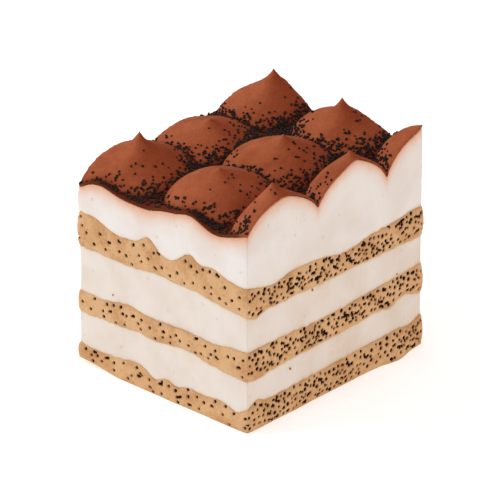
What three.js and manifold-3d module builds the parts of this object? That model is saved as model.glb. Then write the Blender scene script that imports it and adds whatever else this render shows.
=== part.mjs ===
// A portion of tiramisu, cut square from the tray: three layers of soaked sponge and three of
// mascarpone cream. The top cream is piped in rows of pointed dollops, which the knife cuts through,
// and cocoa is dusted over them.
// Sizes are in millimetres, with +Z up. The origin is the middle of the underside, the cut face that
// shows the scallops looks along -Y, and the face between two rows of dollops looks along -X.

import * as THREE from "three";
import Module from "manifold-3d";

const wasm = await Module();
wasm.setup();

// Driving dimensions of the cut block.
const WIDTH = 72;
const DEPTH = 63.4;
const CORNER_EASE = 0.01; // share of its distance from the middle by which a corner is blunted
const CORNER_POWER = 10; // more keeps the easing nearer the corners
const SIDE_POWER = 24; // how sharply the way out turns from one side to the next
const CONTACT = 0.2; // air left between one layer and the next

// How far the walls stand out of the knife's line, or in from it.
const SPONGE_PROUD = 0.6;
const CREAM_HOLLOW = 0.08;
const PIPED_SWELL = 0.5;
const FOOT_SPREAD = 0.4; // the weight of the portion spreads the lowest edge of the sponge
const CRUMB_UNEVEN = 0.35; // share by which the sponge's bulge wavers
const PIPED_UNEVEN = 0.4; // share by which the piped cream's swelling wavers
const CUT_SWELL = 0.3; // share of the swelling on the sides that the knife cut clean
const LEFT_SIDE = 0.49; // share of the width, from the middle, where the left side starts
const LEFT_DROOP = 2.0; // the knife drew the dollops down along the left side
const DROOP_REACH = 2.5;

// The levels of a wall, as shares of its height.
const SPONGE_LEVELS = [0, 0.22, 0.78, 1];
const CREAM_LEVELS = [0, 0.5, 1];
const PIPED_LEVELS = [0, 0.4, 0.7, 1];
const THIN_LEVELS = [0, 1];

// How finely the surfaces are split.
const SIDE_STEPS = [22, 20]; // steps along the width and along the depth of a layer
const LAYER_RINGS = [0.86, 1]; // rings of a layer's flat side, as shares of its outline
const CUTTER_RING = 1.08; // the ring of the cutter that lies outside the outline
const DOLLOP_RINGS = [0.1, 0.3, 0.54, 0.78, 1]; // rings of a dollop, as shares of its cell
const COLUMN_STEPS = [9, 8, 4]; // steps across each column of dollops, from the left
const ROW_STEPS = [5, 8, 7]; // steps across each row of dollops, from the front
const CELL_MARGIN = 2; // how far a dollop's own rings keep inside the knife's line
const CREASE_SEARCH = 8; // how far from the straight border of two cells their crease can lie
const CREASE_HALVINGS = 20; // how often the part of that way that holds the crease is halved
const SAME_POINT = 0.01; // points of two plans nearer than this are one

// The surfaces between the layers, from the underside up. Each has its mean height and its tilt: the rise
// from the middle to the right side and to the back. Swells are places on the front edge [x, rise,
// reach] and on the left edge [y, rise, reach] where the cream pushed the sponge up or down. A swell
// has a twin on the opposite side, unless a fourth value, the share of it that the twin has, says less.
// What the underside has below 0 is pressed flat, because the portion stands on it.
const SURFACES = {
  underside: { height: -0.25, tilt: [0, 0], front: [], left: [[29.3, 1.65, 10, 0]] },
  bottomSponge: {
    height: 7.1,
    tilt: [0.8, -0.9],
    front: [[-32.5, 1.8, 3], [30.5, -0.8, 3], [35, 0.6, 3]],
    left: [[-27.7, -2.2, 4], [-15.7, -0.9, 5], [-5.7, -1.6, 3], [2.8, -1.9, 3], [10.3, 1.0, 5]],
  },
  lowerCream: {
    height: 16.9,
    tilt: [0.6, 0.3],
    front: [[-31.5, -0.9, 5], [16.5, 0.5, 4], [22, -0.6, 2.5], [28.5, 1.3, 4]],
    left: [[-8.7, 1.6, 8], [9.3, 0.8, 3], [30.3, -0.8, 6]],
  },
  middleSponge: {
    height: 23.4,
    tilt: [0.2, -1.4],
    front: [[-2.5, -1.0, 16], [34.5, 0.4, 7]],
    left: [[-18.7, -0.9, 6], [13.3, 1.3, 5]],
  },
  middleCream: {
    height: 35.5,
    tilt: [-0.6, 0.5],
    front: [[-32.5, -1.4, 2.5], [-16.5, 0.4, 3], [34.5, -0.5, 5]],
    left: [[-12.7, 1.3, 8], [1.3, 1.4, 8]],
  },
  topSponge: {
    height: 43.5,
    tilt: [-1.2, 0.5],
    front: [[-25.5, -1.9, 6], [3.5, -2.0, 9], [33.5, 1.3, 9]],
    left: [
      [-18.7, 1.9, 5], [-10.2, 3.1, 3.2], [-2.2, -1.3, 3.5],
      [5.3, 2.7, 3.2], [16.3, -0.8, 6], [25.3, 0.9, 4],
    ],
  },
  pipedFoot: {
    height: 56.4,
    tilt: [0.4, -0.6],
    front: [],
    left: [
      [-28.7, 2.4, 6, 0], [-10.2, 3.4, 6.5, 0], [-0.7, 1.3, 5, 0],
      [23.3, 1.7, 6, 0], [31.3, -1.4, 3, 0],
    ],
  },
};

// The piped dollops, by rows from the front and from the left in each row: the middle, the height of
// the crown above the underside, how far a dollop reaches that has no neighbours, how much shorter
// that reach is from front to back, and how round the crown is: 1 is a cone, and more than 2 a ball
// with a flatter crown and steeper sides. The tip is where the nozzle lifted off: its place, and how
// far it is drawn out.
const DOLLOP_BASE = 52; // height at which a dollop would meet the layer under it
const SIDE_STEEPNESS = 0.52; // less is steeper towards the foot
const TIP_RADIUS = 4;
const DOLLOPS = [
  [
    { x: -22.8, y: -31.2, crown: 65.8, reach: 17.6, squeeze: 1.5, round: 2.2, tip: [-21.0, -27.2, 4.4] },
    { x: 6.4, y: -31.7, crown: 65.4, reach: 15.7, squeeze: 1.25, round: 2.2, tip: [8.0, -29.6, 3.8] },
    { x: 35.8, y: -32.6, crown: 65.8, reach: 16.2, squeeze: 1.15, round: 2.2, tip: [36.0, -31.7, 1.8] },
  ],
  [
    { x: -19.7, y: -7.7, crown: 63.4, reach: 17.2, squeeze: 1, round: 2.6, tip: [-19.5, -6.3, 2.8] },
    { x: 5.7, y: -5.9, crown: 62.6, reach: 17.4, squeeze: 1, round: 2.6, tip: [6.8, -5.9, 4.0] },
    { x: 33.8, y: -7.0, crown: 61.5, reach: 18.6, squeeze: 1, round: 3.2, tip: [31.3, -5.7, 7.2] },
  ],
  [
    { x: -20.6, y: 22.6, crown: 60.9, reach: 18.2, squeeze: 1, round: 2.2, tip: [-20.6, 22.7, 7.1] },
    { x: 5.3, y: 20.5, crown: 59.7, reach: 17.7, squeeze: 1, round: 2.2, tip: [5.7, 20.5, 3.3] },
    { x: 31.5, y: 21.4, crown: 60.7, reach: 18.8, squeeze: 1.32, round: 2.8, tip: [33.3, 21.8, 7.2] },
  ],
];
const COCOA_THICKNESS = 0.6;
const BLOCK_FLOOR = 39; // where the piped block starts, before the sponge's surface is cut out of it
const CUTTER_FLOOR = 29; // the cutter starts lower than the block

const COLOURS = { sponge: 0xd9a468, cream: 0xefe3d6, cocoa: 0x8c4a2c };
const ROUGHNESS = { sponge: 0.95, cream: 0.6, cocoa: 1 };

// The waves that make a wall waver: how fast each turns with x, with y and with a layer's phase.
const WAVES = [[0.23, 0.41, 1.7], [0.47, -0.19, 2.9]];

// Where a point lies across the block: -1 to 1 from the left to the right, and from front to back.
function shares(x, y) {
  return [(2 * x) / WIDTH, (2 * y) / DEPTH];
}

// A slow uneven wave over the plan, from -1 to 1. Each layer takes its own phase.
function ripple(x, y, phase) {
  const heights = WAVES.map(([alongX, alongY, shift]) => Math.sin(alongX * x + alongY * y + shift * phase));
  return heights.reduce((sum, height) => sum + height, 0) / WAVES.length;
}

// One swell of a surface and its twin, turned half round the block, which shapes the hidden sides.
function swell(x, y, [atX, atY, rise, reach, twin = 1]) {
  const near = (x - atX) ** 2 + (y - atY) ** 2;
  const far = (x + atX) ** 2 + (y + atY) ** 2;
  return rise * (Math.exp(-near / reach ** 2) + twin * Math.exp(-far / reach ** 2));
}

// The height of one of the surfaces, raised by lift.
function heightOf(surface, lift = 0) {
  const swells = [
    ...surface.front.map(([x, ...shape]) => [x, -DEPTH / 2, ...shape]),
    ...surface.left.map(([y, ...shape]) => [-WIDTH / 2, y, ...shape]),
  ];
  return (x, y) => {
    const [u, v] = shares(x, y);
    const flat = surface.height + surface.tilt[0] * u + surface.tilt[1] * v + lift;
    return swells.reduce((z, s) => z + swell(x, y, s), flat);
  };
}

// The height of one dollop over a point of the plan: a round crown with steep sides, drawn out to a
// tip where the nozzle lifted off.
function dollopHeight(dollop, x, y) {
  const distance = Math.hypot(x - dollop.x, (y - dollop.y) * dollop.squeeze);
  const t = Math.min(distance / dollop.reach, 1);
  const crown = (1 - t ** dollop.round) ** SIDE_STEEPNESS;
  const [tipX, tipY, drawnOut] = dollop.tip;
  const tip = drawnOut * Math.exp(-Math.hypot(x - tipX, y - tipY) / TIP_RADIUS);
  return DOLLOP_BASE + (dollop.crown - DOLLOP_BASE) * crown + tip;
}

// The top of the piped cream: the highest dollop at each point, and the foot between them.
const footHeight = heightOf(SURFACES.pipedFoot);

function pipedHeight(x, y) {
  const heights = DOLLOPS.flat().map((dollop) => dollopHeight(dollop, x, y));
  const droop = LEFT_DROOP * Math.exp(-(x + WIDTH / 2) / DROOP_REACH);
  return Math.max(footHeight(x, y), ...heights.map((z) => z - droop));
}

// Blunts the corners of the plan.
function eased(x, y) {
  const [u, v] = shares(x, y);
  const ease = 1 - CORNER_EASE * Math.abs(u * v) ** CORNER_POWER;
  return new THREE.Vector2(x * ease, y * ease);
}

// The outline of the block as a ring of points, anticlockwise from the front left corner.
function outline() {
  const corners = [[-1, -1], [1, -1], [1, 1], [-1, 1]];
  return corners.flatMap(([u, v], side) => {
    const [nextU, nextV] = corners[(side + 1) % corners.length];
    const steps = SIDE_STEPS[side % 2];
    return Array.from({ length: steps }, (_, i) => {
      const share = i / steps;
      const x = THREE.MathUtils.lerp(u, nextU, share) * (WIDTH / 2);
      const y = THREE.MathUtils.lerp(v, nextV, share) * (DEPTH / 2);
      return eased(x, y);
    });
  });
}

// A fan of rings between a middle point and a closed outline: its points and its triangles.
function fan(middle, edge, rings) {
  const count = edge.length;
  const points = [middle];
  rings.forEach((share) => edge.forEach((p) => points.push(middle.clone().lerp(p, share))));
  const triangles = [];
  for (let i = 0; i < count; i++) {
    const next = (i + 1) % count;
    triangles.push([0, 1 + i, 1 + next]);
    for (let ring = 1; ring < rings.length; ring++) {
      const inner = 1 + (ring - 1) * count;
      const outer = inner + count;
      triangles.push([inner + i, outer + i, outer + next], [inner + i, outer + next, inner + next]);
    }
  }
  return { points, triangles };
}

// The middle of a dollop, and the point midway between several.
function middleOf(dollop) {
  return new THREE.Vector2(dollop.x, dollop.y);
}

function midway(points) {
  return points.reduce((sum, p) => sum.add(p), new THREE.Vector2()).divideScalar(points.length);
}

// Where a dollop ends on the way from its middle to a point.
function endTowards(dollop, point) {
  const way = point.clone().sub(middleOf(dollop));
  return middleOf(dollop).addScaledVector(way, dollop.reach / Math.hypot(way.x, way.y * dollop.squeeze));
}

// The point on the crease between two neighbouring dollops that lies straight across from a point of
// their border, or nothing where the foot between them hides the crease.
function onCrease(point, one, other) {
  const inARow = DOLLOPS.some((row) => row.includes(one) && row.includes(other));
  const across = inARow ? new THREE.Vector2(other.x - one.x, 0) : new THREE.Vector2(0, other.y - one.y);
  across.normalize();
  let near = point.clone().addScaledVector(across, -CREASE_SEARCH);
  let far = point.clone().addScaledVector(across, CREASE_SEARCH);
  for (let i = 0; i < CREASE_HALVINGS; i++) {
    const { x, y } = midway([near, far]);
    const oneIsHigher = dollopHeight(one, x, y) > dollopHeight(other, x, y);
    if (oneIsHigher) near = new THREE.Vector2(x, y);
    else far = new THREE.Vector2(x, y);
  }
  const shows = dollopHeight(one, near.x, near.y) > footHeight(near.x, near.y);
  return shows ? near : null;
}

// The border of two cells from one corner up to the next: along the crease where that shows, and
// straight from there to the corners. The outer side of a cell has no other dollop and is straight.
function border(from, to, steps, one, other) {
  const straight = Array.from({ length: steps + 1 }, (_, i) => from.clone().lerp(to, i / steps));
  const shown = straight.map((point) => other && onCrease(point, one, other));
  const first = shown.findIndex(Boolean);
  const last = shown.findLastIndex(Boolean);
  const points = straight.map((point, i) => {
    if (i < first) return from.clone().lerp(shown[first], i / first);
    if (first >= 0 && i > last) return to.clone().lerp(shown[last], (steps - i) / (steps - last));
    return shown[i] || point;
  });
  return points.slice(0, -1);
}

// A corner between the cells that the dollops fill: on the knife's line at a crease, or midway between
// the ends of the four dollops round it.
function cellCorner(row, column) {
  const cutX = column === 0 || column === COLUMN_STEPS.length;
  const cutY = row === 0 || row === ROW_STEPS.length;
  const sideX = column === 0 ? -WIDTH / 2 : WIDTH / 2;
  const sideY = row === 0 ? -DEPTH / 2 : DEPTH / 2;
  if (cutX && cutY) return new THREE.Vector2(sideX, sideY);
  const round = [row - 1, row].flatMap((r) => [column - 1, column].map((c) => DOLLOPS[r]?.[c]));
  const near = round.filter(Boolean);
  const middle = midway(near.map(middleOf));
  const onKnifeLine = new THREE.Vector2(cutX ? sideX : middle.x, cutY ? sideY : middle.y);
  if (cutX || cutY) return onCrease(onKnifeLine, ...near) ?? onKnifeLine;
  return midway(near.map((dollop) => endTowards(dollop, middle)));
}

// The sides of a cell from its front left corner, each from one corner to the next and with the way to
// the cell beyond it, as steps in rows and in columns.
const CELL_SIDES = [
  { from: [0, 0], beyond: [-1, 0] },
  { from: [0, 1], beyond: [0, 1] },
  { from: [1, 1], beyond: [1, 0] },
  { from: [1, 0], beyond: [0, -1] },
];

// The fan of one dollop over its cell, from its tip outwards, so that creases and tips fall on points
// of the plan.
function dollopFan(dollop, row, column) {
  const corners = CELL_SIDES.map(({ from: [r, c] }) => cellCorner(row + r, column + c));
  const edge = corners.flatMap((corner, side) => {
    const [r, c] = CELL_SIDES[side].beyond;
    const neighbour = DOLLOPS[row + r]?.[column + c];
    const steps = side % 2 === 0 ? COLUMN_STEPS[column] : ROW_STEPS[row];
    const next = corners[(side + 1) % corners.length];
    return border(corner, next, steps, dollop, neighbour).map((p) => eased(p.x, p.y));
  });
  const limit = new THREE.Vector2(WIDTH / 2 - CELL_MARGIN, DEPTH / 2 - CELL_MARGIN);
  const [tipX, tipY] = dollop.tip;
  const middle = new THREE.Vector2(tipX, tipY).clamp(limit.clone().negate(), limit);
  return fan(middle, edge, DOLLOP_RINGS);
}

// Joins plans that lie edge to edge. The points they have in common become one.
function joinPlans(plans) {
  const points = [];
  const numberOf = (point) => {
    const known = points.findIndex((p) => p.distanceTo(point) < SAME_POINT);
    return known < 0 ? points.push(point) - 1 : known;
  };
  const triangles = plans.flatMap((plan) => {
    const numbers = plan.points.map(numberOf);
    return plan.triangles.map((corners) => corners.map((i) => numbers[i]));
  });
  return { points, triangles };
}

// The edges of a plan that only one triangle has, each from its first point to its second.
function rimOf(triangles) {
  const edges = triangles.flatMap(([a, b, c]) => [[a, b], [b, c], [c, a]]);
  const known = new Set(edges.map((edge) => edge.join()));
  return edges.filter(([a, b]) => !known.has([b, a].join()));
}

// The way out of the block from a point of its rim.
function outwards(point) {
  const [u, v] = shares(point.x, point.y).map((share) => Math.abs(share) ** SIDE_POWER * Math.sign(share));
  return new THREE.Vector2(u, v).normalize();
}

// A closed solid over a plan, between two surfaces. Both caps are split the same way, so neighbours
// that share a surface and a plan fit face to face. levels are the rows of the wall, as shares of its
// height, and bulge(x, y, level) is how far the wall stands out there.
function solidBetween(plan, lower, upper, levels, bulge) {
  const rim = rimOf(plan.triangles);
  const onRim = new Set(rim.flat());
  const rows = levels.map(() => new Map());
  const positions = [];
  const addPoint = (point, index, level) => {
    const out = onRim.has(index) ? bulge(point.x, point.y, level) : 0;
    const { x, y } = point.clone().addScaledVector(outwards(point), out);
    const z = THREE.MathUtils.lerp(lower(point.x, point.y), upper(point.x, point.y), level);
    return positions.push(x, y, z) / 3 - 1;
  };
  levels.forEach((level, row) => {
    const capped = level === 0 || level === 1;
    plan.points.forEach((point, index) => {
      if (capped || onRim.has(index)) rows[row].set(index, addPoint(point, index, level));
    });
  });
  const [bottom, top] = [rows[0], rows.at(-1)];
  const faces = plan.triangles.flatMap(([a, b, c]) => [
    [top.get(a), top.get(b), top.get(c)],
    [bottom.get(c), bottom.get(b), bottom.get(a)],
  ]);
  for (let row = 1; row < rows.length; row++) {
    const [low, high] = [rows[row - 1], rows[row]];
    for (const [a, b] of rim) {
      faces.push([low.get(a), low.get(b), high.get(b)], [low.get(a), high.get(b), high.get(a)]);
    }
  }
  return new THREE.BufferGeometry()
    .setAttribute("position", new THREE.Float32BufferAttribute(positions, 3))
    .setIndex(faces.flat());
}

// A three.js geometry with shared corners as a solid that can be cut, and back.
function toSolid(geometry) {
  const vertProperties = geometry.attributes.position.array;
  const triVerts = new Uint32Array(geometry.index.array);
  return new wasm.Manifold(new wasm.Mesh({ numProp: 3, vertProperties, triVerts }));
}

function toGeometry(solid) {
  const { vertProperties, triVerts } = solid.getMesh();
  return new THREE.BufferGeometry()
    .setAttribute("position", new THREE.BufferAttribute(vertProperties, 3))
    .setIndex(new THREE.BufferAttribute(triVerts, 1));
}

// A node of the portion with the finish of its kind.
function mesh(name, geometry, kind) {
  geometry.computeVertexNormals();
  const finish = { color: COLOURS[kind], roughness: ROUGHNESS[kind], metalness: 0, flatShading: true };
  const made = new THREE.Mesh(geometry, new THREE.MeshStandardMaterial(finish));
  made.name = name;
  return made;
}

const PIPED_PHASE = 8;
const MIDDLE = new THREE.Vector2(0, 0);
const LAYER_PLAN = fan(MIDDLE, outline(), LAYER_RINGS);
const DOLLOP_FANS = DOLLOPS.flatMap((row, r) => row.map((dollop, c) => dollopFan(dollop, r, c)));
const PIPED_PLAN = joinPlans(DOLLOP_FANS);

// The share of a wall's bulge that shows at a level: none where layers meet, most between.
function belly(level) {
  return Math.sin(Math.PI * level) ** 0.5;
}

// The underside, pressed flat by the weight of the portion except where it lifts.
const liftedHeight = heightOf(SURFACES.underside);

function standing(x, y) {
  return Math.max(liftedHeight(x, y), 0);
}

// A sponge layer: its crumb springs out past the knife's line. The lowest one also spreads at its foot.
function sponge(name, lower, upper, phase, spread = 0) {
  const bulge = (x, y, level) => {
    const uneven = 1 + CRUMB_UNEVEN * ripple(x, y, phase);
    return uneven * (level === 0 ? spread : SPONGE_PROUD * belly(level));
  };
  const surfaces = [lower === SURFACES.underside ? standing : heightOf(lower, CONTACT), heightOf(upper)];
  const geometry = solidBetween(LAYER_PLAN, ...surfaces, SPONGE_LEVELS, bulge);
  return mesh(name, geometry, "sponge");
}

// A layer of cream between two sponges, a little hollow where the knife dragged it.
function creamLayer(name, lower, upper, phase) {
  const bulge = (x, y, level) => -CREAM_HOLLOW * (1 + ripple(x, y, phase)) * belly(level);
  const surfaces = [heightOf(lower, CONTACT), heightOf(upper)];
  const geometry = solidBetween(LAYER_PLAN, ...surfaces, CREAM_LEVELS, bulge);
  return mesh(name, geometry, "cream");
}

// How far the piped cream swells out: most on the left, where the knife ran between two columns.
function pipedBulge(x, y, level) {
  const side = x < -LEFT_SIDE * WIDTH ? 1 : CUT_SWELL;
  return PIPED_SWELL * side * (1 + PIPED_UNEVEN * ripple(x, y, PIPED_PHASE)) * belly(level);
}

// The top cream with its dollops: a block under the piped surface, less all that lies below the
// surface of the top sponge. The cutter reaches past the block on every side.
function pipedCream(name) {
  const flat = (z) => () => z;
  const block = solidBetween(PIPED_PLAN, flat(BLOCK_FLOOR), pipedHeight, PIPED_LEVELS, pipedBulge);
  const cutterPlan = fan(MIDDLE, outline(), [...LAYER_RINGS, CUTTER_RING]);
  const surface = heightOf(SURFACES.topSponge, CONTACT);
  const cutter = solidBetween(cutterPlan, flat(CUTTER_FLOOR), surface, THIN_LEVELS, flat(0));
  const cut = toSolid(block).subtract(toSolid(cutter));
  return mesh(name, toGeometry(cut), "cream");
}

// The cocoa: a skin of even thickness over the whole piped surface.
function cocoaDusting(name) {
  const under = (x, y) => pipedHeight(x, y) + CONTACT;
  const over = (x, y) => under(x, y) + COCOA_THICKNESS;
  const geometry = solidBetween(PIPED_PLAN, under, over, THIN_LEVELS, () => 0);
  return mesh(name, geometry, "cocoa");
}

const { underside, bottomSponge, lowerCream, middleSponge, middleCream, topSponge } = SURFACES;
const tiramisu = new THREE.Group();
tiramisu.add(
  sponge("sponge_bottom", underside, bottomSponge, 1, FOOT_SPREAD),
  creamLayer("cream_lower", bottomSponge, lowerCream, 2),
  sponge("sponge_middle", lowerCream, middleSponge, 3),
  creamLayer("cream_middle", middleSponge, middleCream, 4),
  sponge("sponge_top", middleCream, topSponge, 5),
  pipedCream("cream_piped"),
  cocoaDusting("cocoa_dusting"),
);

export default tiramisu;
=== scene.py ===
# %% [markdown]
# # A portion of tiramisu
#
# Three layers of sponge soaked in coffee and three of mascarpone cream, cut square from the tray.
# The top cream is piped in pointed dollops and dusted with cocoa. The CAD model gives the room that
# each layer takes. Here each layer is made again with the surface that a knife and a sieve leave.

import functools
import math
import random

import bmesh
import bpy
from mathutils import Euler, Matrix, Vector, kdtree, noise


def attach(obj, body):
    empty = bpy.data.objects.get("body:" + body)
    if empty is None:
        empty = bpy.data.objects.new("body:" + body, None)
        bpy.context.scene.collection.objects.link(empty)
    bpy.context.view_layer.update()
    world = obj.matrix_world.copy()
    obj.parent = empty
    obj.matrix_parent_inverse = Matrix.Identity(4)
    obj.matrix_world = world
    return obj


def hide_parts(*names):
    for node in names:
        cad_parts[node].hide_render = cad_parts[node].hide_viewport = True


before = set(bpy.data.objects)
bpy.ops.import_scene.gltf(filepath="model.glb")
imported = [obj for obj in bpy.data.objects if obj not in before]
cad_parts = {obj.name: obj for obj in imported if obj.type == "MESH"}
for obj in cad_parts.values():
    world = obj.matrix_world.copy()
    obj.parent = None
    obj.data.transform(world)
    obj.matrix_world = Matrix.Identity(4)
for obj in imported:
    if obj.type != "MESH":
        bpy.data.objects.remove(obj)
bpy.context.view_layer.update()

# %% [markdown]
# ## Sizes
#
# Everything is worked out in millimetres, as a baker would measure it, and scaled to metres when a
# piece is finished. The block, the surfaces between its layers and the dollops are the same as in
# the CAD model, so each piece lies where its solid does.

# %% The block and the surfaces between its layers
MM = 0.001
WIDTH = 72.0
DEPTH = 63.4
PERIMETER = 2 * (WIDTH + DEPTH)

# Each surface has its mean height, its rise towards the right edge and the back edge, and its swells on
# the front edge (x, rise, reach) and on the left edge (y, rise, reach). A swell has an equal twin on the
# opposite side, unless a fourth number gives the share of it that the twin has.
SURFACES = {
    "underside": (-0.25, (0.0, 0.0), [], [(29.3, 1.65, 10, 0)]),
    "bottom_sponge": (
        7.1, (0.8, -0.9),
        [(-32.5, 1.8, 3), (30.5, -0.8, 3), (35, 0.6, 3)],
        [(-27.7, -2.2, 4), (-15.7, -0.9, 5), (-5.7, -1.6, 3), (2.8, -1.9, 3), (10.3, 1.0, 5)],
    ),
    "lower_cream": (
        16.9, (0.6, 0.3),
        [(-31.5, -0.9, 5), (16.5, 0.5, 4), (22, -0.6, 2.5), (28.5, 1.3, 4)],
        [(-8.7, 1.6, 8), (9.3, 0.8, 3), (30.3, -0.8, 6)],
    ),
    "middle_sponge": (
        23.4, (0.2, -1.4),
        [(-2.5, -1.0, 16), (34.5, 0.4, 7)],
        [(-18.7, -0.9, 6), (13.3, 1.3, 5)],
    ),
    "middle_cream": (
        35.5, (-0.6, 0.5),
        [(-32.5, -1.4, 2.5), (-16.5, 0.4, 3), (34.5, -0.5, 5)],
        [(-12.7, 1.3, 8), (1.3, 1.4, 8)],
    ),
    "top_sponge": (
        43.5, (-1.2, 0.5),
        [(-25.5, -1.9, 6), (3.5, -2.0, 9), (33.5, 1.3, 9)],
        [
            (-18.7, 1.9, 5), (-10.2, 3.1, 3.2), (-2.2, -1.3, 3.5),
            (5.3, 2.7, 3.2), (16.3, -0.8, 6), (25.3, 0.9, 4),
        ],
    ),
    "piped_foot": (
        56.4, (0.4, -0.6),
        [],
        [
            (-28.7, 2.4, 6, 0), (-10.2, 3.4, 6.5, 0), (-0.7, 1.3, 5, 0),
            (23.3, 1.7, 6, 0), (31.3, -1.4, 3, 0),
        ],
    ),
}


def swell(x, y, at_x, at_y, rise, reach, twin=1):
    """One swell of a surface and its twin on the opposite side."""
    near = (x - at_x) ** 2 + (y - at_y) ** 2
    far = (x + at_x) ** 2 + (y + at_y) ** 2
    return rise * (math.exp(-near / reach**2) + twin * math.exp(-far / reach**2))


def surface(name, x, y):
    """The height of one of the surfaces over a point of the plan."""
    height, tilt, front, left = SURFACES[name]
    z = height + tilt[0] * 2 * x / WIDTH + tilt[1] * 2 * y / DEPTH
    z += sum(swell(x, y, at, -DEPTH / 2, *shape) for at, *shape in front)
    return z + sum(swell(x, y, -WIDTH / 2, at, *shape) for at, *shape in left)


print("surfaces", {name: round(surface(name, 0, 0), 1) for name in SURFACES})

# %% [markdown]
# ## The piped surface
#
# Each dollop is a round crown with steep sides, drawn out to a tip where the nozzle lifted off. Where
# two dollops press together the higher one wins, which leaves the sharp crease between them. The
# cocoa lies on this surface and the cream ends at it, so both pieces ask the same function.

# %% Dollops
DOLLOP_BASE = 52.0
SIDE_STEEPNESS = 0.52
TIP_RADIUS = 4.0
LEFT_DROOP = 2.0
DROOP_REACH = 2.5
LUMP = 0.22
LUMP_SIZE = 9.0

# By rows from the front: the middle x, y, the height of the crown, the reach, how much shorter the
# reach is from front to back, how round the crown is, and the drawn-out tip's x, y and length.
DOLLOPS = [
    (-22.8, -31.2, 65.8, 17.6, 1.5, 2.2, (-21.0, -27.2, 4.4)),
    (6.4, -31.7, 65.4, 15.7, 1.25, 2.2, (8.0, -29.6, 3.8)),
    (35.8, -32.6, 65.8, 16.2, 1.15, 2.2, (36.0, -31.7, 1.8)),
    (-19.7, -7.7, 63.4, 17.2, 1.0, 2.6, (-19.5, -6.3, 2.8)),
    (5.7, -5.9, 62.6, 17.4, 1.0, 2.6, (6.8, -5.9, 4.0)),
    (33.8, -7.0, 61.5, 18.6, 1.0, 3.2, (31.3, -5.7, 7.2)),
    (-20.6, 22.6, 60.9, 18.2, 1.0, 2.2, (-20.6, 22.7, 7.1)),
    (5.3, 20.5, 59.7, 17.7, 1.0, 2.2, (5.7, 20.5, 3.3)),
    (31.5, 21.4, 60.7, 18.8, 1.32, 2.8, (33.3, 21.8, 7.2)),
]


def dollop_height(dollop, x, y):
    """The height of one dollop over a point of the plan."""
    at_x, at_y, crown, reach, squeeze, roundness, (tip_x, tip_y, drawn_out) = dollop
    t = min(math.hypot(x - at_x, (y - at_y) * squeeze) / reach, 1)
    fullness = (1 - t**roundness) ** SIDE_STEEPNESS
    tip = drawn_out * math.exp(-math.hypot(x - tip_x, y - tip_y) / TIP_RADIUS)
    return DOLLOP_BASE + (crown - DOLLOP_BASE) * fullness + tip


@functools.cache
def piped(x, y):
    """The height of the piped cream, and how far it stands above the next dollop or the foot."""
    droop = LEFT_DROOP * math.exp(-(x + WIDTH / 2) / DROOP_REACH)
    heights = [dollop_height(dollop, x, y) - droop for dollop in DOLLOPS]
    foot = surface("piped_foot", x, y)
    second, first = sorted(heights)[-2:]
    lump = LUMP * noise.noise(Vector((x, y, 0)) / LUMP_SIZE)
    return max(first, foot) + lump, max(first - max(second, foot), 0)


def crease(x, y, fade):
    """How near a point is to the foot of a dollop or the crease between two, from 0 to 1."""
    return math.exp(-piped(x, y)[1] / fade)


for spot, x, y in (("on a tip:", 5.7, 20.5), ("between dollops:", -8.0, 22.0)):
    print(spot, "height", round(piped(x, y)[0], 1), "crease", round(crease(x, y, 1.6), 2))

# %% [markdown]
# ## Walls
#
# A layer is a closed band: its wall goes round the block and its two flat sides are hidden by its
# neighbours. The wall starts as a flat grid, like a label before it goes round a jar. A vertex's x is
# then its share of the way round and its y its share of the way up, and one function per layer turns
# the two numbers into a place. So the wall has an even, fine mesh for its crumb and the knife's
# marks, and the hidden sides stay coarse: their rings are extruded inwards and merged in the middle.

# %% The outline of the block
CORNERS = [(-1, -1), (1, -1), (1, 1), (-1, 1)]
SIDE_LENGTHS = [WIDTH, DEPTH, WIDTH, DEPTH]
CORNER_EASE = 0.01
EASE_POWER = 10
OUTLINE_POWER = 24


def eased(x, y):
    """Blunts the corners of the plan."""
    ease = 1 - CORNER_EASE * abs(4 * x * y / (WIDTH * DEPTH)) ** EASE_POWER
    return x * ease, y * ease


def on_outline(share):
    """The point at a share of the way round, from the front left corner anticlockwise."""
    along = (share % 1) * PERIMETER
    side = 0
    while along > SIDE_LENGTHS[side]:
        along -= SIDE_LENGTHS[side]
        side = (side + 1) % 4
    (u, v), (next_u, next_v) = CORNERS[side], CORNERS[(side + 1) % 4]
    part = along / SIDE_LENGTHS[side]
    return eased((u + (next_u - u) * part) * WIDTH / 2, (v + (next_v - v) * part) * DEPTH / 2)


def outwards(x, y):
    """The way out of the block from a point of its outline."""
    u, v = 2 * x / WIDTH, 2 * y / DEPTH
    u, v = (math.copysign(abs(t) ** OUTLINE_POWER, t) for t in (u, v))
    return Vector((u, v, 0)).normalized()


def belly(level):
    """The share of a bulge that shows at a level: none at the edges, most between."""
    return math.sin(math.pi * min(max(level, 0), 1)) ** 0.5


print("corner", on_outline(0), "middle of the right side", on_outline((WIDTH + DEPTH / 2) / PERIMETER))

# %% [markdown]
# Where two layers meet, crumbs stand up into the cream and cream sinks into the crumb. Both layers
# take their edge from one ragged surface, so no gap opens between them.

# %% The ragged edge that two layers share
RAGGED = ((0.3, 2.6), (0.16, 0.9))


def lift(point, lumps):
    """How far lumps lift a surface at a point. A lump is given as its rise and its size."""
    return sum(rise * noise.noise(point / size) for rise, size in lumps)


def edge_height(name, x, y):
    """The height of a layer's edge. The underside is pressed flat, and the piped top has no crumb."""
    if name == "underside":
        return max(surface(name, x, y), 0.0)
    if name == "piped":
        return piped(x, y)[0]
    # The length of the name is the noise's third coordinate, so most surfaces differ in it.
    return surface(name, x, y) + lift(Vector((x, y, len(name))), RAGGED)


print("ragged edge", [round(edge_height("top_sponge", x, -31), 2) for x in range(-30, 31, 15)])

# %% A column of the wall
UNEVEN = 0.5
UNEVEN_SIZE = 9


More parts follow.
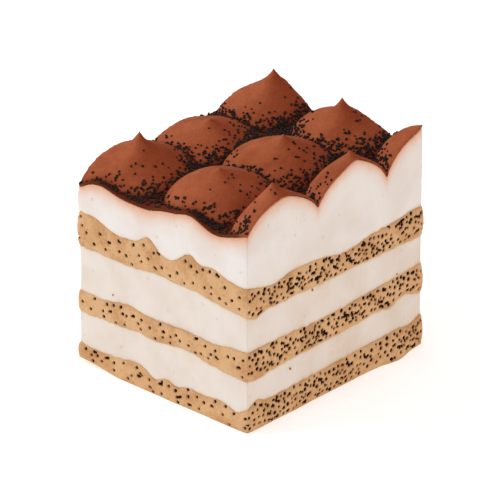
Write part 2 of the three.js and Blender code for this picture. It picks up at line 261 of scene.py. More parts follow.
@functools.cache
def column(share, lower, upper, seed):
    """What a layer's points above one another have in common.

    The place below them, the way out of the block, the heights of the layer's lower and upper edge,
    and how strong the layer's bulge is there.
    """
    x, y = on_outline(share)
    strength = 1 + UNEVEN * noise.noise(Vector((x, y, seed)) / UNEVEN_SIZE)
    return Vector((x, y, 0)), outwards(x, y), edge_height(lower, x, y), edge_height(upper, x, y), strength


low, high, strength = column(0.13, "underside", "bottom_sponge", 7)[2:]
print("a column of the front: from", round(low, 2), "to", round(high, 2), "bulge", round(strength, 2))

# %% From a label to a closed layer
CAP_RINGS = [0.985, 0.94, 0.8, 0.5]
MERGE = 0.001


def close_with_rings(bm, loop, name):
    """Closes a wall's open edge with rings that follow a surface, down to one point."""
    share = 1
    for ring in CAP_RINGS:
        made = bmesh.ops.extrude_edge_only(bm, edges=loop)["geom"]
        loop = [e for e in made if isinstance(e, bmesh.types.BMEdge) and e.is_boundary]
        verts = {v for e in loop for v in e.verts}
        for vert in verts:
            x, y = vert.co.x * ring / share, vert.co.y * ring / share
            vert.co = x, y, edge_height(name, x, y)
        share = ring
    bmesh.ops.pointmerge(bm, verts=list(verts), merge_co=(0, 0, edge_height(name, 0, 0)))


def layer_body(columns, rows, place, lower, close_top):
    """A closed layer. place(share, level) gives each point of the wall, its darkness and its rim."""
    bm = bmesh.new()
    dark = bm.verts.layers.float.new("dark")
    rim = bm.verts.layers.float.new("rim")
    bmesh.ops.create_grid(bm, x_segments=columns, y_segments=rows, size=0.5)
    bmesh.ops.translate(bm, vec=(0.5, 0.5, 0), verts=bm.verts)
    foot = [v for v in bm.verts if v.co.y < MERGE]
    ends = [v for v in bm.verts if v.co.x < MERGE or v.co.x > 1 - MERGE]
    for vert in bm.verts:
        vert.co, vert[dark], vert[rim] = place(vert.co.x, vert.co.y)
    bmesh.ops.remove_doubles(bm, verts=ends, dist=MERGE)
    foot = {v for v in foot if v.is_valid}
    edges = [e for e in bm.edges if e.is_boundary]
    close_with_rings(bm, [e for e in edges if foot.issuperset(e.verts)], lower)
    close_top(bm, [e for e in edges if not foot.issuperset(e.verts)])
    bmesh.ops.recalc_face_normals(bm, faces=bm.faces)
    return bm


print("a wall is closed by", len(CAP_RINGS), "rings and a point")

# %% [markdown]
# ## Finishing a piece
#
# A finished piece is a mesh in metres whose object sits at the origin. It rides on the one body of
# the portion, and hides the CAD part that it stands for, if any.

# %% From a bmesh to a piece
def to_object(bm, name, material):
    """Makes an object of a bmesh, with its place in its mesh."""
    mesh = bpy.data.meshes.new(name)
    bm.to_mesh(mesh)
    bm.free()
    mesh.materials.append(material)
    made = bpy.data.objects.new(name, mesh)
    bpy.context.scene.collection.objects.link(made)
    return made


def finish_piece(bm, name, material, slot, *nodes):
    """Makes a piece of the portion from a bmesh in millimetres."""
    bmesh.ops.scale(bm, vec=(MM, MM, MM), verts=bm.verts)
    piece = to_object(bm, name, material)
    piece.data.shade_smooth()
    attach(piece, "root")
    if nodes:
        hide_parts(*nodes)
    triangles = sum(len(p.vertices) - 2 for p in piece.data.polygons)
    print(name, triangles, "triangles")


# %% [markdown]
# ## Finishes
#
# A finish is a network of shader nodes. To read like the sum that it is, a wire between nodes is
# wrapped in a class that knows Python's signs, and each sign adds one Math node. Colours are mixed by
# a Mix node, because a Math node would turn them grey.


# %% Shader sums
class Wire:
    """An output of a shader node, or a sum of such outputs."""

    def __init__(self, finish, socket):
        self.finish, self.socket = finish, socket

    def __add__(self, other):
        return self.finish.math("ADD", self, other)

    def __sub__(self, other):
        return self.finish.math("SUBTRACT", self, other)

    def __rsub__(self, other):
        return self.finish.math("SUBTRACT", other, self)

    def __mul__(self, other):
        return self.finish.math("MULTIPLY", self, other)

    __radd__ = __add__
    __rmul__ = __mul__


class Finish:
    """A material, its shader, and the wires that feed it."""

    def __init__(self, name, **constants):
        self.material = bpy.data.materials.new(name)
        self.material.use_nodes = True
        self.tree = self.material.node_tree
        self.shader = self.tree.nodes["Principled BSDF"]
        for socket, value in constants.items():
            self.shader.inputs[socket.replace("_", " ")].default_value = value
        place = self.node("ShaderNodeTexCoord", {}, "Object")
        self.place = self.node("ShaderNodeMapping", {}, "Vector", Vector=place, Scale=[1 / MM] * 3)

    def feed(self, socket, value):
        """Links a wire to a socket, or sets the socket's value."""
        if isinstance(value, Wire):
            self.tree.links.new(value.socket, socket)
        else:
            socket.default_value = value

    def node(self, kind, settings, out, **values):
        """Any node: its settings first, then the values or wires of its sockets."""
        node = self.tree.nodes.new(kind)
        for key, value in settings.items():
            setattr(node, key, value)
        for name, value in values.items():
            self.feed(node.inputs[name.replace("_", " ")], value)
        return Wire(self, node.outputs[out])

    def math(self, operation, *values):
        """A Math node, whose sockets share one name and go by number."""
        node = self.tree.nodes.new("ShaderNodeMath")
        node.operation = operation
        for socket, value in zip(node.inputs, values):
            self.feed(socket, value)
        return Wire(self, node.outputs[0])

    def mix(self, factor, first, second):
        """A blend of two colours."""
        node = self.tree.nodes.new("ShaderNodeMix")
        node.data_type = "RGBA"
        colour_sockets = [s for s in node.inputs if s.type == "RGBA"]
        for socket, value in zip([node.inputs[0], *colour_sockets], (factor, first, second)):
            self.feed(socket, value)
        return Wire(self, next(s for s in node.outputs if s.type == "RGBA"))

    def mottle(self, size, detail=3.0, roughness=0.6):
        """Soft uneven spots of a size in millimetres, from 0 to 1."""
        spots = dict(Scale=1 / size, Detail=detail, Roughness=roughness)
        return self.node("ShaderNodeTexNoise", {}, "Fac", Vector=self.place, **spots)

    def mark(self, name):
        """What the mesh says of each of its points under a name."""
        return self.node("ShaderNodeAttribute", {"attribute_name": name}, "Fac")

    def step(self, value, low, high):
        """A smooth step from 0 at low to 1 at high."""
        smooth = {"interpolation_type": "SMOOTHSTEP"}
        return self.node("ShaderNodeMapRange", smooth, "Result", Value=value, From_Min=low, From_Max=high)

    def paint(self, colour):
        """Feeds the base colour."""
        self.feed(self.shader.inputs["Base Color"], colour)

    def relief(self, height, depth):
        """Feeds a height of 0 to 1 to the shader's normal, as so many millimetres."""
        bump = self.node("ShaderNodeBump", {}, "Normal", Height=height, Distance=depth * MM)
        self.feed(self.shader.inputs["Normal"], bump)


def tone(red, green, blue):
    """A colour as the eye counts it, 0 to 255, in the shader's own linear measure."""
    def linear(value):
        value /= 255
        return value / 12.92 if value <= 0.04045 else ((value + 0.055) / 1.055) ** 2.4
    return linear(red), linear(green), linear(blue), 1.0


print("half grey in linear measure", round(tone(128, 128, 128)[0], 3))

# %% [markdown]
# ### Sponge
#
# Soaked sponge is tan where the coffee is thin and brown where it gathered, matt, and full of pores.
# Their rims are browner with coffee, and their depths are painted nearly black: painted shade, with a
# little coffee. Coffee sinks, so the lowest layer is a little browner than the others. The mesh says
# where the pores are; the finish adds the uneven soak and the finest crumb.

# %% Soaked sponge
THINLY_SOAKED = tone(217, 172, 126)
WELL_SOAKED = tone(194, 141, 92)
PALE_CRUMB = tone(230, 190, 143)
PORE_RIM = tone(158, 100, 54)
PORE_COFFEE_AND_SHADE = tone(30, 14, 7)

sponge = Finish("soaked_sponge", Specular_IOR_Level=0.2)
level = sponge.node("ShaderNodeSeparateXYZ", {}, "Z", Vector=sponge.place)
soak = sponge.step(sponge.mottle(7.0, 4.0) - 0.03 * sponge.step(level, 2.0, 30.0), 0.35, 0.7)
fine_crumb = sponge.mottle(0.7, 3.0, 0.7)
crumb_colour = sponge.mix(soak, THINLY_SOAKED, WELL_SOAKED)
crumb_colour = sponge.mix(sponge.step(fine_crumb, 0.45, 0.75) * 0.5, crumb_colour, PALE_CRUMB)
pore = sponge.mark("dark")
crumb_colour = sponge.mix(sponge.step(pore, 0.0, 0.6) * 0.5, crumb_colour, PORE_RIM)
# Partly painted shade: the depths of the pores are painted nearly black, with a little coffee.
crumb_colour = sponge.mix(sponge.step(pore, 0.5, 0.85), crumb_colour, PORE_COFFEE_AND_SHADE)
sponge.paint(crumb_colour)
sponge.feed(sponge.shader.inputs["Roughness"], 0.95 - soak * 0.2)
sponge.relief(fine_crumb, 0.25)
print("sponge finish", len(sponge.tree.nodes), "nodes")

# %% [markdown]
# ### Cream
#
# Whipped mascarpone is ivory, smooth and a little translucent. Under the cocoa it is stained peach
# where the powder drew its moisture, and by the sponge it takes up a little coffee. The layers
# between the sponges are warmer than the piped cream, because coffee reaches them from both sides.

# %% Mascarpone cream
COCOA_STAIN = tone(222, 166, 132)
COFFEE_STAIN = tone(212, 178, 138)


def mascarpone(name, pale, deep):
    """The cream's finish between a pale and a deeper ivory."""
    cream = Finish(
        name,
        Specular_IOR_Level=0.35,
        Subsurface_Weight=0.1,
        Subsurface_Radius=(1.0, 0.7, 0.5),
        Subsurface_Scale=MM,
    )
    cloud = cream.step(cream.mottle(12.0, 2.0), 0.3, 0.75)
    colour = cream.mix(cloud, pale, deep)
    stain = cream.mark("rim") * (0.7 + 0.6 * cream.mottle(2.2))
    colour = cream.mix(cream.step(stain, 0.0, 1.0), colour, COCOA_STAIN)
    seep = cream.mark("dark") * (0.4 + 0.9 * cream.mottle(1.8))
    colour = cream.mix(cream.step(seep, 0.0, 1.3), colour, COFFEE_STAIN)
    cream.paint(colour)
    cream.feed(cream.shader.inputs["Roughness"], 0.45 + 0.15 * cloud)
    cream.relief(0.7 * cream.mottle(1.6) + 0.3 * cream.mottle(0.35, 2.0), 0.1)
    return cream.material


piped_mascarpone = mascarpone("piped_mascarpone", tone(232, 225, 220), tone(226, 215, 207))
spread_mascarpone = mascarpone("spread_mascarpone", tone(229, 218, 209), tone(222, 208, 195))
print("cream finishes", piped_mascarpone.name, spread_mascarpone.name)

# %% [markdown]
# ### Cocoa
#
# Sifted cocoa is a dry powder: fully matt and in tiny heaps. Painted shade darkens it on the sides that
# face away from the light and in the low places, and most of all in the folds between dollops. Its
# coarse grains are nearly black.

# %% Cocoa powder
THIN_COCOA = tone(181, 99, 65)
THICK_COCOA = tone(163, 84, 52)
HEAPED_COCOA = tone(124, 62, 38)
SHADED_COCOA = tone(114, 29, 0)
FOLD_SHADE_COCOA = tone(58, 20, 8)

cocoa = Finish("cocoa_powder", Specular_IOR_Level=0.08, Roughness=1.0)
heap = cocoa.mottle(1.1, 4.0, 0.7)
patch = cocoa.mottle(8.0, 3.0)
cocoa_colour = cocoa.mix(cocoa.step(patch, 0.35, 0.7), THIN_COCOA, THICK_COCOA)
cocoa_colour = cocoa.mix(cocoa.step(heap, 0.4, 0.75) * 0.3, cocoa_colour, HEAPED_COCOA)
# Painted shade: the dark mark darkens the sides facing away from the light, the creases and the low
# places.
cocoa_colour = cocoa.mix(cocoa.mark("dark") * 0.76, cocoa_colour, SHADED_COCOA)
# Painted shade: the fold mark darkens the fold of each crease most.
cocoa_colour = cocoa.mix(cocoa.mark("fold_shade") * 0.55, cocoa_colour, FOLD_SHADE_COCOA)
cocoa.paint(cocoa_colour)
cocoa.relief(0.7 * heap + 0.3 * cocoa.mottle(0.4, 2.0), 0.3)
print("cocoa finish", len(cocoa.tree.nodes), "nodes")

# %% Grains and crumbs
grain = Finish("cocoa_grain", Specular_IOR_Level=0.3, Roughness=0.75)
grain.paint(grain.mix(grain.mottle(0.8), tone(24, 10, 5), tone(46, 22, 12)))
crumb = Finish("sponge_crumb", Specular_IOR_Level=0.2, Roughness=0.95)
crumb.paint(crumb.mix(crumb.mottle(0.8), tone(120, 72, 36), tone(196, 140, 88)))
print("grain and crumb finishes made")

# %% [markdown]
# ## Sponge layers
#
# The knife tears sponge rather than cutting it, so the wall is rough, stands out a little further
# than the cream, and shows the pores. Large pores are set down one by one, most on the front face,
# because their number gives the face its look; small ones come from a cell pattern. A bump alone
# would leave the pores flat at the silhouette, so both are pressed into the mesh.

# %% Where the large pores are
# On a side: how many a layer has, and their least and greatest radius. Front, right, back, left. Of a
# few tries for each pore, the one farthest from the others is kept, so bubbles don't heap up.
PORES = ((170, 0.46, 0.76), (90, 0.42, 0.68), (80, 0.42, 0.68), (40, 0.5, 0.66))
TRIES = 4
WALL_HEIGHT = 7.5
CLEAR_OF_CORNER = 0.4
PORE_LEVELS = (0.09, 0.93)
TWIN_CHANCE = 0.16
TWIN_APART = 1.1
TWIN_LIFT = 0.05
TWIN_SIZE = 0.8
# One draw serves all three layers, so no two have the same pores.
pore_draw = random.Random(5)


def scatter_pores():
    """Large pores as (share round, level, radius). Some have a neighbour that they run into."""
    pores = []
    start = 0
    for (count, least, most), length in zip(PORES, SIDE_LENGTHS):
        taken = [Vector((0, 0))]
        for _ in range(count):
            tries = []
            for _ in range(TRIES):
                along = pore_draw.uniform(CLEAR_OF_CORNER, length - CLEAR_OF_CORNER)
                tries.append(Vector((along, pore_draw.uniform(*PORE_LEVELS) * WALL_HEIGHT)))
            spot = max(tries, key=lambda place: min((place - other).length for other in taken))
            taken.append(spot)
            along, level = start + spot.x, spot.y / WALL_HEIGHT
            radius = pore_draw.uniform(least, most)
            pores.append((along / PERIMETER, level, radius))
            if pore_draw.random() < TWIN_CHANCE:
                beside = along + pore_draw.choice((-1, 1)) * TWIN_APART * radius
                lifted = level + pore_draw.uniform(-TWIN_LIFT, TWIN_LIFT)
                pores.append((beside / PERIMETER, lifted, radius * TWIN_SIZE))
        start += length
    return pores


print("large pores in a layer, by side", [count for count, *_ in PORES])

# %% The crumb
COLUMNS = 1100
SPONGE_ROWS = 36
SPONGE_PROUD = 0.6
FOOT_SPREAD = 0.4
SLUMP = 1.5
SLUMP_AT = 24.5
SLUMP_REACH = 5.0
SLUMP_WALL = 1 - DEPTH / 2
SPONGE_LUMPS = ((0.32, 5.0), (0.16, 1.7))
LUMPS_NEAR_EDGE = 1.6
PORE_DEPTH = 0.8
PORE_SHADE = 1.9
SMALL_PORE_DEPTH = 0.3
SMALL_PORE_SHADE = 0.45
SMALL_PORE_CELL = 1.25
SMALL_PORE_REACH = 0.34
CENTRE_SPREAD = 3.1
CLOSED_BELOW = -0.2


def small_pores(point):
    """How deep a point is in one of the small pores of the cell pattern, from 0 to 1."""
    distances, centres = noise.voronoi(point / SMALL_PORE_CELL)
    # A noise at the cell's centre says whether the whole cell has an open pore.
    open_pore = noise.cell(centres[0] * CENTRE_SPREAD) > CLOSED_BELOW
    return max(0, 1 - distances[0] / SMALL_PORE_REACH) if open_pore else 0.0


def slump(point):
    """How far the foot of the front wall has sagged outwards, near its right end."""
    on_front = point.y < SLUMP_WALL
    return SLUMP * math.exp(-(((point.x - SLUMP_AT) / SLUMP_REACH) ** 2)) * on_front


def sponge_layer(name, lower, upper, seed, node):
    """A sponge layer between two surfaces, with its pores pressed in."""

    def on_wall(share, level):
        base, out, low, high, strength = column(share, lower, upper, seed)
        bulge = strength * SPONGE_PROUD * belly(level)
        if lower == "underside":
            spread = strength * FOOT_SPREAD * (1 - level) ** 4
            bulge = max(bulge, spread) + slump(base) * (1 - level) ** 2
        return base + out * bulge + Vector((0, 0, low + (high - low) * level)), out

    pores = scatter_pores()
    tree = kdtree.KDTree(len(pores))
    for index, (share, level, _) in enumerate(pores):
        tree.insert(on_wall(share, level)[0], index)
    tree.balance()

    def place(share, level):
        point, out = on_wall(share, level)
        _, index, distance = tree.find(point)
        large = max(0, 1 - (distance / pores[index][2]) ** 2)
        small = small_pores(point)
        fade = min(LUMPS_NEAR_EDGE * belly(level), 1)
        inwards = PORE_DEPTH * large + SMALL_PORE_DEPTH * small - lift(point, SPONGE_LUMPS)
        dark = max(SMALL_PORE_SHADE * small, min(1, PORE_SHADE * large))
        return point - out * fade * inwards, dark, 0.0

    close_top = functools.partial(close_with_rings, name=upper)
    body = layer_body(COLUMNS, SPONGE_ROWS, place, lower, close_top)
    finish_piece(body, name, sponge.material, "sponge", node)


sponge_layer("bottom_sponge", "underside", "bottom_sponge", 7, "sponge_bottom")
sponge_layer("middle_sponge", "lower_cream", "middle_sponge", 21, "sponge_middle")
sponge_layer("top_sponge", "middle_cream", "top_sponge", 35, "sponge_top")

# %% [markdown]
# ## Cream layers
#
# Cream cuts clean. It sinks back a little between the sponges, keeps the faint upright streaks of
# the knife, and here and there shows an air bubble that the whisk left.

# %% Cream between the sponges
CREAM_COLUMNS = 640
CREAM_ROWS = 26
CREAM_HOLLOW = 0.08
CREAM_LUMPS = ((0.24, 11.0), (0.07, 3.0))
STREAK = 0.05
STREAK_SIZE = Vector((1 / 0.9, 1 / 0.9, 1 / 14))
BUBBLE_CELL = 3.6
BUBBLE_REACH = 0.12
BUBBLE_DEPTH = 0.45
SEEP_REACH = 0.55
SMEAR = 0.5
SMEAR_SIZE = Vector((1 / 7.0, 1 / 7.0, 1 / 11.0))
SMEAR_WALL = 0.5 - DEPTH / 2
SMEAR_ELSEWHERE = 0.35


def smear(point):
    """How much coffee the knife dragged over the cream: most on the front wall, in patches."""
    side = 1.0 if point.y < SMEAR_WALL else SMEAR_ELSEWHERE
    patches = 0.5 + noise.noise(point * SMEAR_SIZE)
    return SMEAR * side * min(max(patches, 0), 1)


def cream_relief(point):
    """How far the cream stands out at a point: soft lumps, knife streaks and air bubbles."""
    streak = STREAK * noise.noise(point * STREAK_SIZE)
    distances, _ = noise.voronoi(point / BUBBLE_CELL)
    bubble = BUBBLE_DEPTH * max(0, 1 - (distances[0] / BUBBLE_REACH) ** 2)
    return lift(point, CREAM_LUMPS) + streak - bubble


def cream_layer(name, lower, upper, seed, node):
    """A cream layer between two surfaces."""

    def place(share, level):
        base, out, low, high, strength = column(share, lower, upper, seed)
        z = low + (high - low) * level
        point = base + Vector((0, 0, z))
        relief = belly(level) * (cream_relief(point) - CREAM_HOLLOW * strength)
        seep = math.exp(-min(z - low, high - z) / SEEP_REACH)
        return point + out * relief, seep + smear(point), 0.0

    close_top = functools.partial(close_with_rings, name=upper)
    body = layer_body(CREAM_COLUMNS, CREAM_ROWS, place, lower, close_top)
    finish_piece(body, name, spread_mascarpone, "cream", node)


cream_layer("lower_cream", "bottom_sponge", "lower_cream", 14, "cream_lower")
cream_layer("middle_cream", "middle_sponge", "middle_cream", 28, "cream_middle")

# %% [markdown]
# ## Piped cream
#
# The top cream has the same wall up to the cut dollops. A ring would cut straight across the creases
# between them, so its top is a grid as fine as the wall, sunk a little under the cocoa and bridged to
# the wall. The mesh says how far below the cocoa each point of the wall is, for the stain.

# %% The cut dollops
PIPED_ROWS = 40
TOP_GRID = (171, 149)
TOP_SHARE = 0.985
PIPED_SWELL = 0.5
SWELL_WALL = 1 - WIDTH / 2
SWELL_ELSEWHERE = 0.3
PIPED_SMEAR = 0.6
STAIN_REACH = 2.8
COCOA_SINK = 0.3


def close_with_dollops(bm, loop):
    """Closes the wall's upper edge with a grid over the dollops."""
    columns, rows = TOP_GRID
    made = bmesh.ops.create_grid(bm, x_segments=columns, y_segments=rows, size=TOP_SHARE / 2)["verts"]
    for vert in made:
        x, y = eased(vert.co.x * WIDTH, vert.co.y * DEPTH)
        vert.co = x, y, piped(x, y)[0] - COCOA_SINK
    rim = [e for e in {e for v in made for e in v.link_edges} if e.is_boundary]
    bmesh.ops.bridge_loops(bm, edges=[*loop, *rim])


def piped_cream():
    """The piped cream with its cut wall, which swells most on the left."""

    def place(share, level):
        base, out, low, high, strength = column(share, "top_sponge", "piped", 50)
        side = 1 if base.x < SWELL_WALL else SWELL_ELSEWHERE
        z = low + (high - low) * level
        point = base + Vector((0, 0, z))
        relief = belly(level) * (cream_relief(point) + PIPED_SWELL * side * strength)
        seep = math.exp(-(z - low) / SEEP_REACH)
        stain = math.exp(-(high - z) / STAIN_REACH)
        return point + out * relief, seep + PIPED_SMEAR * smear(point), stain

    body = layer_body(CREAM_COLUMNS, PIPED_ROWS, place, "top_sponge", close_with_dollops)
    finish_piece(body, "piped_cream", piped_mascarpone, "cream", "cream_piped")


piped_cream()

# %% [markdown]
# ## Cocoa
#
# The cocoa is a thin cover over the dollops: a fine sheet laid on the piped surface, then given the
# powder's thickness downwards. At the cut it crumbles a little over the edge. Its darkening is painted
# shade, and three things say how dark it is: which way a point faces, how near a crease it is, and how
# low it lies. In the fold of a crease the painted shade is darkest.

# %% The cocoa's surface
COCOA_TOP = 0.8
POWDER_HEAPS = ((0.1, 2.4), (0.09, 0.9))
HEAPS_SEED = 20
VALLEY = 56.5
VALLEY_RISE = 6.5
SLOPE_STEP = 0.4
HARDLY_STEEP = 0.35
# Painted shade: the plan direction of the shaded side, and how much shade it, the creases and the low
# places get.
SHADED_SIDE = (0.55, -0.83)
UNSHADED_SHARE = 0.15
CREASE_SHADE_FADE = 0.8
SHADE_IN_CREASE = 0.6
SIDE_SHADE_ANYWHERE = 0.85
SIDE_SHADE_IN_VALLEY = 0.15
FOLD_FADE = 0.35


def powder_top(x, y):
    """The top of the cocoa over a point of the plan."""
    return piped(x, y)[0] + COCOA_TOP + lift(Vector((x, y, HEAPS_SEED)), POWDER_HEAPS)


def lowness(x, y):
    """How low a point lies, from 0 on the crowns to 1 in the valleys between the dollops."""
    return min(max(1 - (piped(x, y)[0] - VALLEY) / VALLEY_RISE, 0), 1)


def slope(x, y):
    """How steeply the cocoa rises to the right and to the back."""
    rise_x = piped(x + SLOPE_STEP, y)[0] - piped(x - SLOPE_STEP, y)[0]
    rise_y = piped(x, y + SLOPE_STEP)[0] - piped(x, y - SLOPE_STEP)[0]
    return rise_x / (2 * SLOPE_STEP), rise_y / (2 * SLOPE_STEP)


def facing(x, y, towards):
    """How far a place faces a direction of the plan, from 0 to 1."""
    rise_x, rise_y = slope(x, y)
    along = rise_x * towards[0] + rise_y * towards[1]
    return 0.5 - 0.5 * along / math.hypot(rise_x, rise_y, HARDLY_STEEP)


def painted_cocoa_shade(x, y):
    """How much painted shade darkens the powder, from 0 to 1: most on the side facing away from the
    light, and in the creases.
    """
    shade = max(facing(x, y, SHADED_SIDE) - UNSHADED_SHARE, 0) / (1 - UNSHADED_SHARE)
    in_valley = SIDE_SHADE_ANYWHERE + SIDE_SHADE_IN_VALLEY * lowness(x, y)
    return min(1, SHADE_IN_CREASE * crease(x, y, CREASE_SHADE_FADE) + shade * in_valley)


print("powder over a tip", round(powder_top(5.7, 20.5), 2), "damp there", round(painted_cocoa_shade(5.7, 20.5), 2))

# %% The cocoa's cover
COCOA_COLUMNS = 210
COCOA_ROWS = 184
COCOA_THICKNESS = 0.6
TIP_SNAP = 0.3
UPRIGHT = 0.01
EDGE_CRUMBLE = 0.22
CRUMBLE_MEAN = 0.6
CRUMBLE_SIZE = 0.8


def sharpen_tips(bm):
    """Moves the point of a flat plan that is nearest to each tip onto the tip, so that none is lost."""
    for *_, (tip_x, tip_y, _) in DOLLOPS:
        tip = Vector((tip_x, tip_y, 0))
        nearest = min(bm.verts, key=lambda vert: (vert.co - tip).length_squared)
        if (nearest.co - tip).length < TIP_SNAP:
            nearest.co = tip


def sifted_cocoa():
    """The cover of cocoa over the piped cream."""
    bm = bmesh.new()
    dark = bm.verts.layers.float.new("dark")
    fold_shade = bm.verts.layers.float.new("fold_shade")
    bmesh.ops.create_grid(bm, x_segments=COCOA_COLUMNS, y_segments=COCOA_ROWS, size=0.5)
    for vert in bm.verts:
        vert.co.xy = eased(vert.co.x * WIDTH, vert.co.y * DEPTH)
    sharpen_tips(bm)
    for vert in bm.verts:
        x, y = vert.co.xy
        vert.co.z = powder_top(x, y)
        # The painted shade of the shaded sides, the creases, the low places and the folds.
        vert[dark] = painted_cocoa_shade(x, y)
        vert[fold_shade] = crease(x, y, FOLD_FADE)
    cover = bm.faces[:]
    made = bmesh.ops.extrude_face_region(bm, geom=cover, use_keep_orig=True)["geom"]
    below = [v for v in made if isinstance(v, bmesh.types.BMVert)]
    bmesh.ops.translate(bm, vec=(0, 0, -COCOA_THICKNESS), verts=below)
    for edge in bm.edges:
        if sum(abs(face.normal.z) < UPRIGHT for face in edge.link_faces) == 2:
            for vert in edge.verts:
                out = outwards(vert.co.x, vert.co.y)
                crumble = CRUMBLE_MEAN + noise.noise(vert.co / CRUMBLE_SIZE)
                vert.co += out * EDGE_CRUMBLE * crumble
    bmesh.ops.recalc_face_normals(bm, faces=bm.faces)
    finish_piece(bm, "sifted_cocoa", cocoa.material, "cocoa", "cocoa_dusting")


sifted_cocoa()

# %% [markdown]
# ## Grains
#
# Coarse grains roll off the crowns and stop in a band along the creases and the feet. The band is
# fullest on the shaded sides, which face forwards and to the right, and on the left sides it fills up
# from left to right. Where the band follows the shaded sides and the creases, the dark grains are
# partly painted shade. The knife pushed some more into the left notches of the front cut. Each grain
# is a small rough lump, and there are many, so it has only twenty faces. A rule gives each place its
# share, and a seeded draw fills it.

# %% Where grains stop
# The band reaches up to a height above the next dollop, which is less at the back, and then fades.
BAND = 2.65
BAND_LEAN = 0.04
BAND_FADE = 0.42
IN_FOLD = 0.3
# A few grains lie higher, on the sides that face right.
SPARSE = 0.12
SPARSE_REACH = 4
# How full the band is on the right sides, and on the left ones, where it fills up along x.
RIGHT_SIDE = (0.68, -0.74)
RIGHT_SHARE = 0.85
RIGHT_POWER = 1.5
LEFT_LEAST = 0.05
LEFT_GAIN = 0.7
LEFT_START = -20
LEFT_SPAN = 53
# Sides that face backwards keep the least of it.
FRONT_SIDE = (-0.74, -0.68)
FRONT_GAIN = 4
FRONT_LOSS = 1.2
BACK_LEAST = 0.25


def grain_share(x, y):
    """The share of grains that stay at a place, from 0 to 1."""
    height = piped(x, y)[1]
    band = 1 / (1 + math.exp((height - BAND + BAND_LEAN * y) / BAND_FADE))
    sparse = SPARSE * math.exp(-height / SPARSE_REACH)
    right = facing(x, y, RIGHT_SIDE) ** RIGHT_POWER
    on_left = LEFT_LEAST + LEFT_GAIN * min(max((x - LEFT_START) / LEFT_SPAN, 0), 1)
    front = min(max(FRONT_GAIN * facing(x, y, FRONT_SIDE) - FRONT_LOSS, BACK_LEAST), 1)
    foot = RIGHT_SHARE * right + on_left * (1 - right) + IN_FOLD * crease(x, y, FOLD_FADE)
    # Partly painted shade: the dark grains gather most on the shaded sides and in the creases.
    return front * (foot * band + sparse * right)


print("share in the band", round(grain_share(15, -16), 2), "on a crown", round(grain_share(5.7, -5.9), 2))

# %% What the knife pushed into the notches
NOTCH_SIDE = (-1.0, 0.0)
NOTCH_SIDE_POWER = 3
NOTCH_DEPTH = 4.5
NOTCH_FADE = 2.4
NOTCH_END = 10.0
NOTCH_STEEP = 3


def notch_share(x, y):
    """The share of the grains that the knife pushed into the left notches of the front cut."""
    steep = min(math.hypot(1, *slope(x, y)) / NOTCH_STEEP, 1)
    on_left = min(max((NOTCH_END - x) / NOTCH_END, 0), 1)
    left_side = facing(x, y, NOTCH_SIDE) ** NOTCH_SIDE_POWER
    return on_left * steep * left_side * math.exp(-piped(x, y)[1] / NOTCH_FADE)


print("share low in a notch", round(notch_share(-7, -31), 2), "and high", round(notch_share(-3, -31), 2))

# %% Dropping the grains
PLAN_SHARE = 0.495
GRAIN_COUNT = 2800
NOTCH_COUNT = 72
GRAIN_SIZES = (0.62, 0.96)
GRAIN_LENGTHS = (0.8, 1.3)
LONG_CHANCE = 0.12
GRAIN_WIDTHS = (0.8, 1.0)
GRAIN_HEIGHTS = (0.75, 1.0)
GRAIN_RISE = 0.15


def tumbled(draw):
    """A turn about all three axes."""
    return Euler([draw.uniform(0, math.tau) for _ in range(3)])


def lumpy(bm, size, place, turn, squash):
    """One small rough lump in a mesh of many."""
    matrix = Matrix.LocRotScale(place, turn, Vector(squash) * size / 2)
    bmesh.ops.create_icosphere(bm, subdivisions=1, radius=1.0, matrix=matrix)


def drop_grains(bm, draw, count, back, share_at):
    """Drops grains by a rule, from the front edge to a share of the depth behind the middle."""
    placed = 0
    while placed < count:
        x = draw.uniform(-PLAN_SHARE, PLAN_SHARE) * WIDTH
        y = draw.uniform(-PLAN_SHARE, back) * DEPTH
        if draw.random() > share_at(x, y):
            continue
        size = draw.uniform(*GRAIN_SIZES)
        turn = tumbled(draw)
        length = draw.uniform(*GRAIN_LENGTHS) + (draw.random() < LONG_CHANCE)
        squash = length, draw.uniform(*GRAIN_WIDTHS), draw.uniform(*GRAIN_HEIGHTS)
        lumpy(bm, size, Vector((x, y, powder_top(x, y) + GRAIN_RISE * size)), turn, squash)
        placed += 1


def cocoa_grains():
    """Coarse grains of cocoa on the cover."""
    draw = random.Random(11)
    bm = bmesh.new()
    drop_grains(bm, draw, GRAIN_COUNT, PLAN_SHARE, grain_share)
    drop_grains(bm, draw, NOTCH_COUNT, NOTCH_DEPTH / DEPTH - 0.5, notch_share)
    finish_piece(bm, "cocoa_grains", grain.material, "cocoa")


cocoa_grains()

# %% [markdown]
# The knife drags a few crumbs of sponge over the cream. They stick to the walls close under or over
# the layer that they came from.

# %% Crumbs on the cream
CRUMB_COUNT = 9
CRUMB_SIZES = (0.5, 1.0)
CRUMB_SHAPE = ((0.9, 1.4), (0.8, 1.0), (0.7, 1.0))
CRUMB_LEVELS = ((0.06, 0.25), (0.6, 0.94))
CRUMB_LAYERS = (("bottom_sponge", "lower_cream"), ("middle_sponge", "middle_cream"))


def sponge_crumbs():
    """Crumbs that the knife left on the cream walls."""
    draw = random.Random(8)
    bm = bmesh.new()
    for _ in range(CRUMB_COUNT):
        x, y = on_outline(draw.random())
        low, high = (edge_height(name, x, y) for name in draw.choice(CRUMB_LAYERS))
        level = draw.choice([draw.uniform(*ends) for ends in CRUMB_LEVELS])
        turn = tumbled(draw)
        squash = [draw.uniform(*ends) for ends in CRUMB_SHAPE]
        place = Vector((x, y, low + (high - low) * level))
        lumpy(bm, draw.uniform(*CRUMB_SIZES), place, turn, squash)
    finish_piece(bm, "sponge_crumbs", crumb.material, "sponge")


sponge_crumbs()

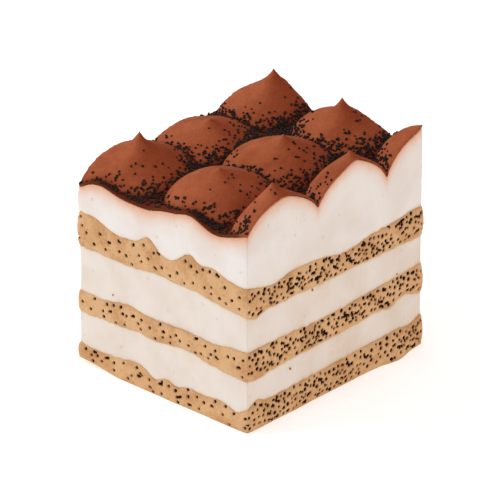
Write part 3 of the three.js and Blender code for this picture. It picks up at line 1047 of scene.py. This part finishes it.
# %% [markdown]
# ## Floor, light and camera
#
# The portion stands on a plain white floor under a white sky. One large soft light from the upper
# left makes the left wall the brighter one, and a weak warm one fills the front wall. The camera
# looks down at the near corner through a long lens, so upright edges stay upright.

# %% Floor
WHITE = (1.0, 1.0, 1.0, 1.0)
FLOOR_GLOW = 0.48
FLOOR_REACH = 4.0
FLOOR_GAP = 0.1 * MM


def white_floor():
    """A plain white floor, which isn't part of the portion."""
    glow = dict(Emission_Color=WHITE, Emission_Strength=FLOOR_GLOW)
    paper = Finish("white_paper", Roughness=0.9, Specular_IOR_Level=0.1, **glow)
    paper.paint(paper.mix(paper.mottle(40.0), tone(236, 236, 236), tone(233, 233, 233)))
    bm = bmesh.new()
    bmesh.ops.create_grid(bm, x_segments=1, y_segments=1, size=FLOOR_REACH)
    bmesh.ops.translate(bm, vec=(0, 0, -FLOOR_GAP), verts=bm.verts)
    floor = to_object(bm, "floor", paper.material)
    print(floor.name, "reaches", FLOOR_REACH, "m to each side")


white_floor()

# %% Light
SKY = 0.67


def soft_light(name, towards, size, power, colour):
    """A square area light that shines at the portion from a distance of one metre."""
    lamp = bpy.data.lights.new(name, "AREA")
    lamp.size = size
    lamp.energy = power
    lamp.color = colour
    light = bpy.data.objects.new(name, lamp)
    light.location = Vector(towards).normalized()
    light.rotation_euler = (-light.location).to_track_quat("-Z", "Y").to_euler()
    bpy.context.scene.collection.objects.link(light)
    print(name, "shines from", [round(v, 2) for v in light.location])


sky = bpy.data.worlds.new("white_sky")
sky.use_nodes = True
background = sky.node_tree.nodes["Background"]
background.inputs["Color"].default_value = WHITE
background.inputs["Strength"].default_value = SKY
bpy.context.scene.world = sky
soft_light("window", (-0.45, 0.6, 0.66), 0.5, 3.1, WHITE[:3])
soft_light("warm_wall", (0.25, -1.0, 0.3), 0.9, 1.2, (1.0, 0.62, 0.3))
bpy.context.scene.view_settings.view_transform = "Standard"

# %% Camera
AZIMUTH = math.radians(-47.5)
ELEVATION = math.radians(27.3)
LENS = 800.0
FAR = 20.0
VIEW_WIDTH = 138.5 * MM
TARGET = Vector((-0.13, 0.14, 31.9)) * MM

camera_data = bpy.data.cameras.new("camera")
camera_data.lens = LENS
camera_data.clip_end = FAR
distance = VIEW_WIDTH * LENS / camera_data.sensor_width
camera = bpy.data.objects.new("camera", camera_data)
back = Vector((
    math.sin(AZIMUTH) * math.cos(ELEVATION),
    -math.cos(AZIMUTH) * math.cos(ELEVATION),
    math.sin(ELEVATION),
))
camera.location = TARGET + back * distance
camera.rotation_euler = back.to_track_quat("Z", "Y").to_euler()
bpy.context.scene.collection.objects.link(camera)
bpy.context.scene.camera = camera
print("camera at", [round(v, 3) for v in camera.location])
